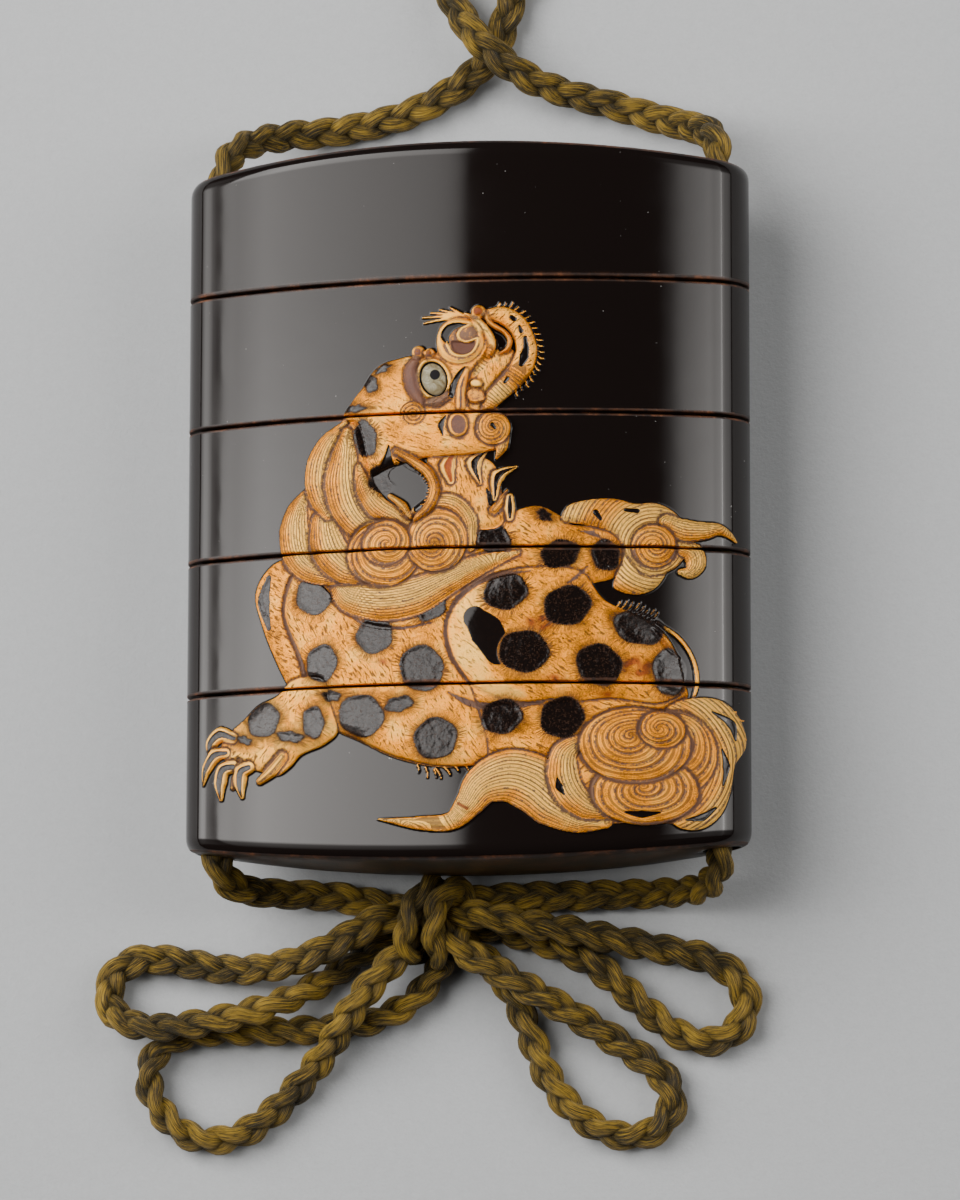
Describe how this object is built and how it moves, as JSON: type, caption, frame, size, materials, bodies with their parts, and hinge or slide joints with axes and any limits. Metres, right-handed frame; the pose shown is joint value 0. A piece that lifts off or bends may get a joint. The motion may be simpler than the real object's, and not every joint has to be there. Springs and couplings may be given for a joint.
{
  "type": "inro case",
  "caption": "Oval tiered lacquer case with raised gold lion-dog relief, hollow stacking compartments and a braided silk cord tied in a bow.",
  "frame": {"origin": "middle of the case's footprint on the surface that it lies on, cord left out", "axes": "+Y towards the top (lid) of the case, +Z out of the figured front, +X to the right"},
  "size_m": [0.0735, 0.1637, 0.0228],
  "materials": {
    "black_lacquer": "polished black-brown lacquer on a thin wooden core, with raised gold lacquer on the front",
    "shell_inlay": "polished shell inlay",
    "silk_cord": "braided moss-green silk"
  },
  "bodies": {
    "root": {"lid": "black_lacquer", "case_1": "black_lacquer", "case_2": "black_lacquer", "case_3": "black_lacquer", "case_4": "black_lacquer", "eye_inlay": "shell_inlay", "cord_top": "silk_cord", "cord_runner_left": "silk_cord", "cord_runner_right": "silk_cord", "cord_tie_left": "silk_cord", "cord_tie_right": "silk_cord", "bow_knot": "silk_cord", "bow_loop_1": "silk_cord", "bow_loop_2": "silk_cord", "bow_loop_3": "silk_cord", "bow_loop_4": "silk_cord"}
  },
  "joints": []
}
